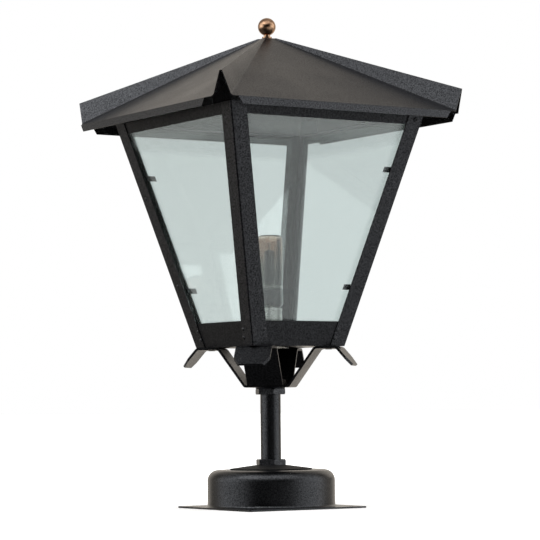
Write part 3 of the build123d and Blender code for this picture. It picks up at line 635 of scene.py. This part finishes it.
def make_world():
    """A white studio whose mirrored parts follow the paint's sheen in the photograph.

    Two tall soft walls stand left and right, the side towards the viewer is dark, and the sweep behind,
    the ceiling and the table are paler. Only mirrored rays meet these levels: camera rays and rays
    through glass see plain white, and all others an even grey.
    """
    world = bpy.data.worlds.new("studio")
    world.use_nodes = True
    tree = world.node_tree
    tree.nodes.clear()
    output = add_node(tree, "ShaderNodeOutputWorld")
    direction = add_node(tree, "ShaderNodeTexCoord").outputs["Generated"]
    azimuth = math.radians(camera_azimuth)
    towards = add_node(tree, "ShaderNodeVectorMath", {
        0: direction, 1: (math.sin(azimuth), -math.cos(azimuth), 0.0)},
        operation="DOT_PRODUCT").outputs["Value"]
    sideways = add_node(tree, "ShaderNodeVectorMath", {
        0: direction, 1: (math.cos(azimuth), math.sin(azimuth), 0.0)},
        operation="DOT_PRODUCT").outputs["Value"]
    upward = add_node(tree, "ShaderNodeSeparateXYZ", {"Vector": direction}).outputs["Z"]
    either_side = add_node(tree, "ShaderNodeMath", {0: sideways}, operation="ABSOLUTE").outputs["Value"]
    measured = {"towards": towards, "sideways": sideways, "upward": upward, "either_side": either_side}
    steps = {  # what it is: the direction it is measured along, where it starts and ends, its level at both
        "walls": ("either_side", 0.48, 0.98, 0.03, 1.8),
        "wall_end": ("towards", -0.1, -0.45, 1.0, 0.32),
        "sweep": ("towards", -0.55, -0.95, 0.0, 0.85),
        "right_half": ("sideways", 0.22, 0.45, 0.0, 1.08),
        "above_sweep": ("upward", 0.08, 0.2, 0.0, 1.0),
        "behind": ("towards", -0.5, -0.75, 0.0, 1.0),
        "ceiling": ("upward", 0.3, 0.75, 0.0, 0.62),
        "front_height": ("upward", 0.35, 0.65, 0.0, 1.7),
        "front_side": ("towards", -0.1, 0.4, 0.0, 1.0),
        "front_left": ("sideways", -0.1, -0.6, 1.15, 2.4),
        "table_side": ("sideways", -0.5, 0.5, 0.12, 0.6),
        "table_back": ("towards", -0.6, -0.95, 0.0, 0.65),
        "below": ("upward", -0.02, -0.2, 0.0, 1.0),
        "warmth": ("towards", 0.0, -0.7, 0.0, 1.0),
    }
    level = {}
    for name, (along, *ends) in steps.items():
        level[name] = add_node(tree, "ShaderNodeMapRange", dict(enumerate((measured[along], *ends))),
                               interpolation_type="SMOOTHSTEP").outputs["Result"]
    for name, how, first, second in (
            ("walls", "MULTIPLY", "walls", "wall_end"),
            ("back_light", "MULTIPLY", "right_half", "above_sweep"),
            ("back_light", "MULTIPLY", "back_light", "behind"),
            ("front_light", "MULTIPLY", "front_height", "front_side"),
            ("front_light", "MULTIPLY", "front_light", "front_left"),
            ("room", "MAXIMUM", "walls", "sweep"),
            ("room", "MAXIMUM", "room", "back_light"),
            ("room", "MAXIMUM", "room", "ceiling"),
            ("room", "MAXIMUM", "room", "front_light"),
            ("table", "ADD", "table_side", "table_back")):
        level[name] = add_node(tree, "ShaderNodeMath", {0: level[first], 1: level[second]},
                               operation=how).outputs["Value"]
    strength = add_node(tree, "ShaderNodeMix", {
        "Factor": level["below"], "A": level["room"], "B": level["table"]}).outputs["Result"]
    tone = add_node(tree, "ShaderNodeValToRGB", {"Fac": level["warmth"]},
                    stops=((0.0, "f4f8ff"), (1.0, "fff6ea"))).outputs["Color"]
    path = add_node(tree, "ShaderNodeLightPath")
    seen = add_node(tree, "ShaderNodeMath", {
        0: path.outputs["Is Camera Ray"], 1: path.outputs["Is Transmission Ray"]}, operation="MAXIMUM")
    ambient = add_node(tree, "ShaderNodeBackground", {
        "Color": linear("ffffff"), "Strength": ambient_strength})
    mirrored = add_node(tree, "ShaderNodeBackground", {"Color": tone, "Strength": strength})
    plain = add_node(tree, "ShaderNodeBackground", {"Color": linear("ffffff"), "Strength": 1.0})
    glossy = add_node(tree, "ShaderNodeMixShader", {
        0: path.outputs["Is Glossy Ray"], 1: ambient.outputs["Background"],
        2: mirrored.outputs["Background"]})
    mixed = add_node(tree, "ShaderNodeMixShader", {
        0: seen.outputs["Value"], 1: glossy.outputs["Shader"], 2: plain.outputs["Background"]})
    tree.links.new(mixed.outputs["Shader"], output.inputs["Surface"])
    bpy.context.scene.world = world


def make_floor():
    """A pale floor, with a painted soft shade near the flange where its added glow is weaker, and plain white
    from there on.
    """
    mesh = bmesh.new()
    bmesh.ops.create_grid(mesh, x_segments=1, y_segments=1, size=floor_half_side)
    data = bpy.data.meshes.new("floor")
    mesh.to_mesh(data)
    mesh.free()
    floor = bpy.data.objects.new("floor", data)
    bpy.context.scene.collection.objects.link(floor)
    floor.location.z = -floor_drop
    floor.visible_glossy = False
    material, tree, output = new_material("pale_floor")
    place = add_node(tree, "ShaderNodeTexCoord").outputs["Object"]
    distance = add_node(tree, "ShaderNodeVectorMath", {0: place}, operation="LENGTH").outputs["Value"]
    # painted shade: the floor's glow is weaker near the flange
    fade = add_node(tree, "ShaderNodeMapRange", {
        "Value": distance, "From Min": shade_start, "From Max": shade_end,
        "To Min": shade_level, "To Max": 1.0}, interpolation_type="SMOOTHSTEP").outputs["Result"]
    path = add_node(tree, "ShaderNodeLightPath")
    seen = add_node(tree, "ShaderNodeMath", {
        0: path.outputs["Is Camera Ray"], 1: path.outputs["Is Transmission Ray"]}, operation="MAXIMUM")
    lift = add_node(tree, "ShaderNodeMath", {0: seen.outputs["Value"], 1: fade}, operation="MULTIPLY")
    shader = add_node(tree, "ShaderNodeBsdfPrincipled", {
        "Base Color": linear("efeeeb"), "Roughness": 0.9, "Emission Color": linear("ffffff"),
        "Emission Strength": lift.outputs["Value"]})
    tree.links.new(shader.outputs["BSDF"], output.inputs["Surface"])
    data.materials.append(material)


def add_lamp(name, azimuth, elevation, distance, size, power):
    """A soft square lamp that faces the middle of the lantern."""
    a, e = math.radians(azimuth), math.radians(elevation)
    back = Vector((math.sin(a) * math.cos(e), -math.cos(a) * math.cos(e), math.sin(e)))
    data = bpy.data.lights.new(name, "AREA")
    data.shape = "SQUARE"
    data.size = size
    data.energy = power
    lamp = bpy.data.objects.new(name, data)
    lamp.matrix_world = (Matrix.Translation(aim + back * distance)
                         @ back.to_track_quat("Z", "Y").to_matrix().to_4x4())
    bpy.context.scene.collection.objects.link(lamp)
    lamp.visible_camera = False
    lamp.visible_glossy = False


make_camera()
make_world()
make_floor()
add_lamp("ceiling", azimuth=0, elevation=88, distance=2.2, size=2.4, power=45)
add_lamp("left_wall", azimuth=camera_azimuth - wall_turn, elevation=25, distance=2.4, size=1.6, power=22)
add_lamp("right_wall", azimuth=camera_azimuth + wall_turn, elevation=25, distance=2.4, size=1.6, power=22)

scene = bpy.context.scene
scene.view_settings.view_transform = "Standard"
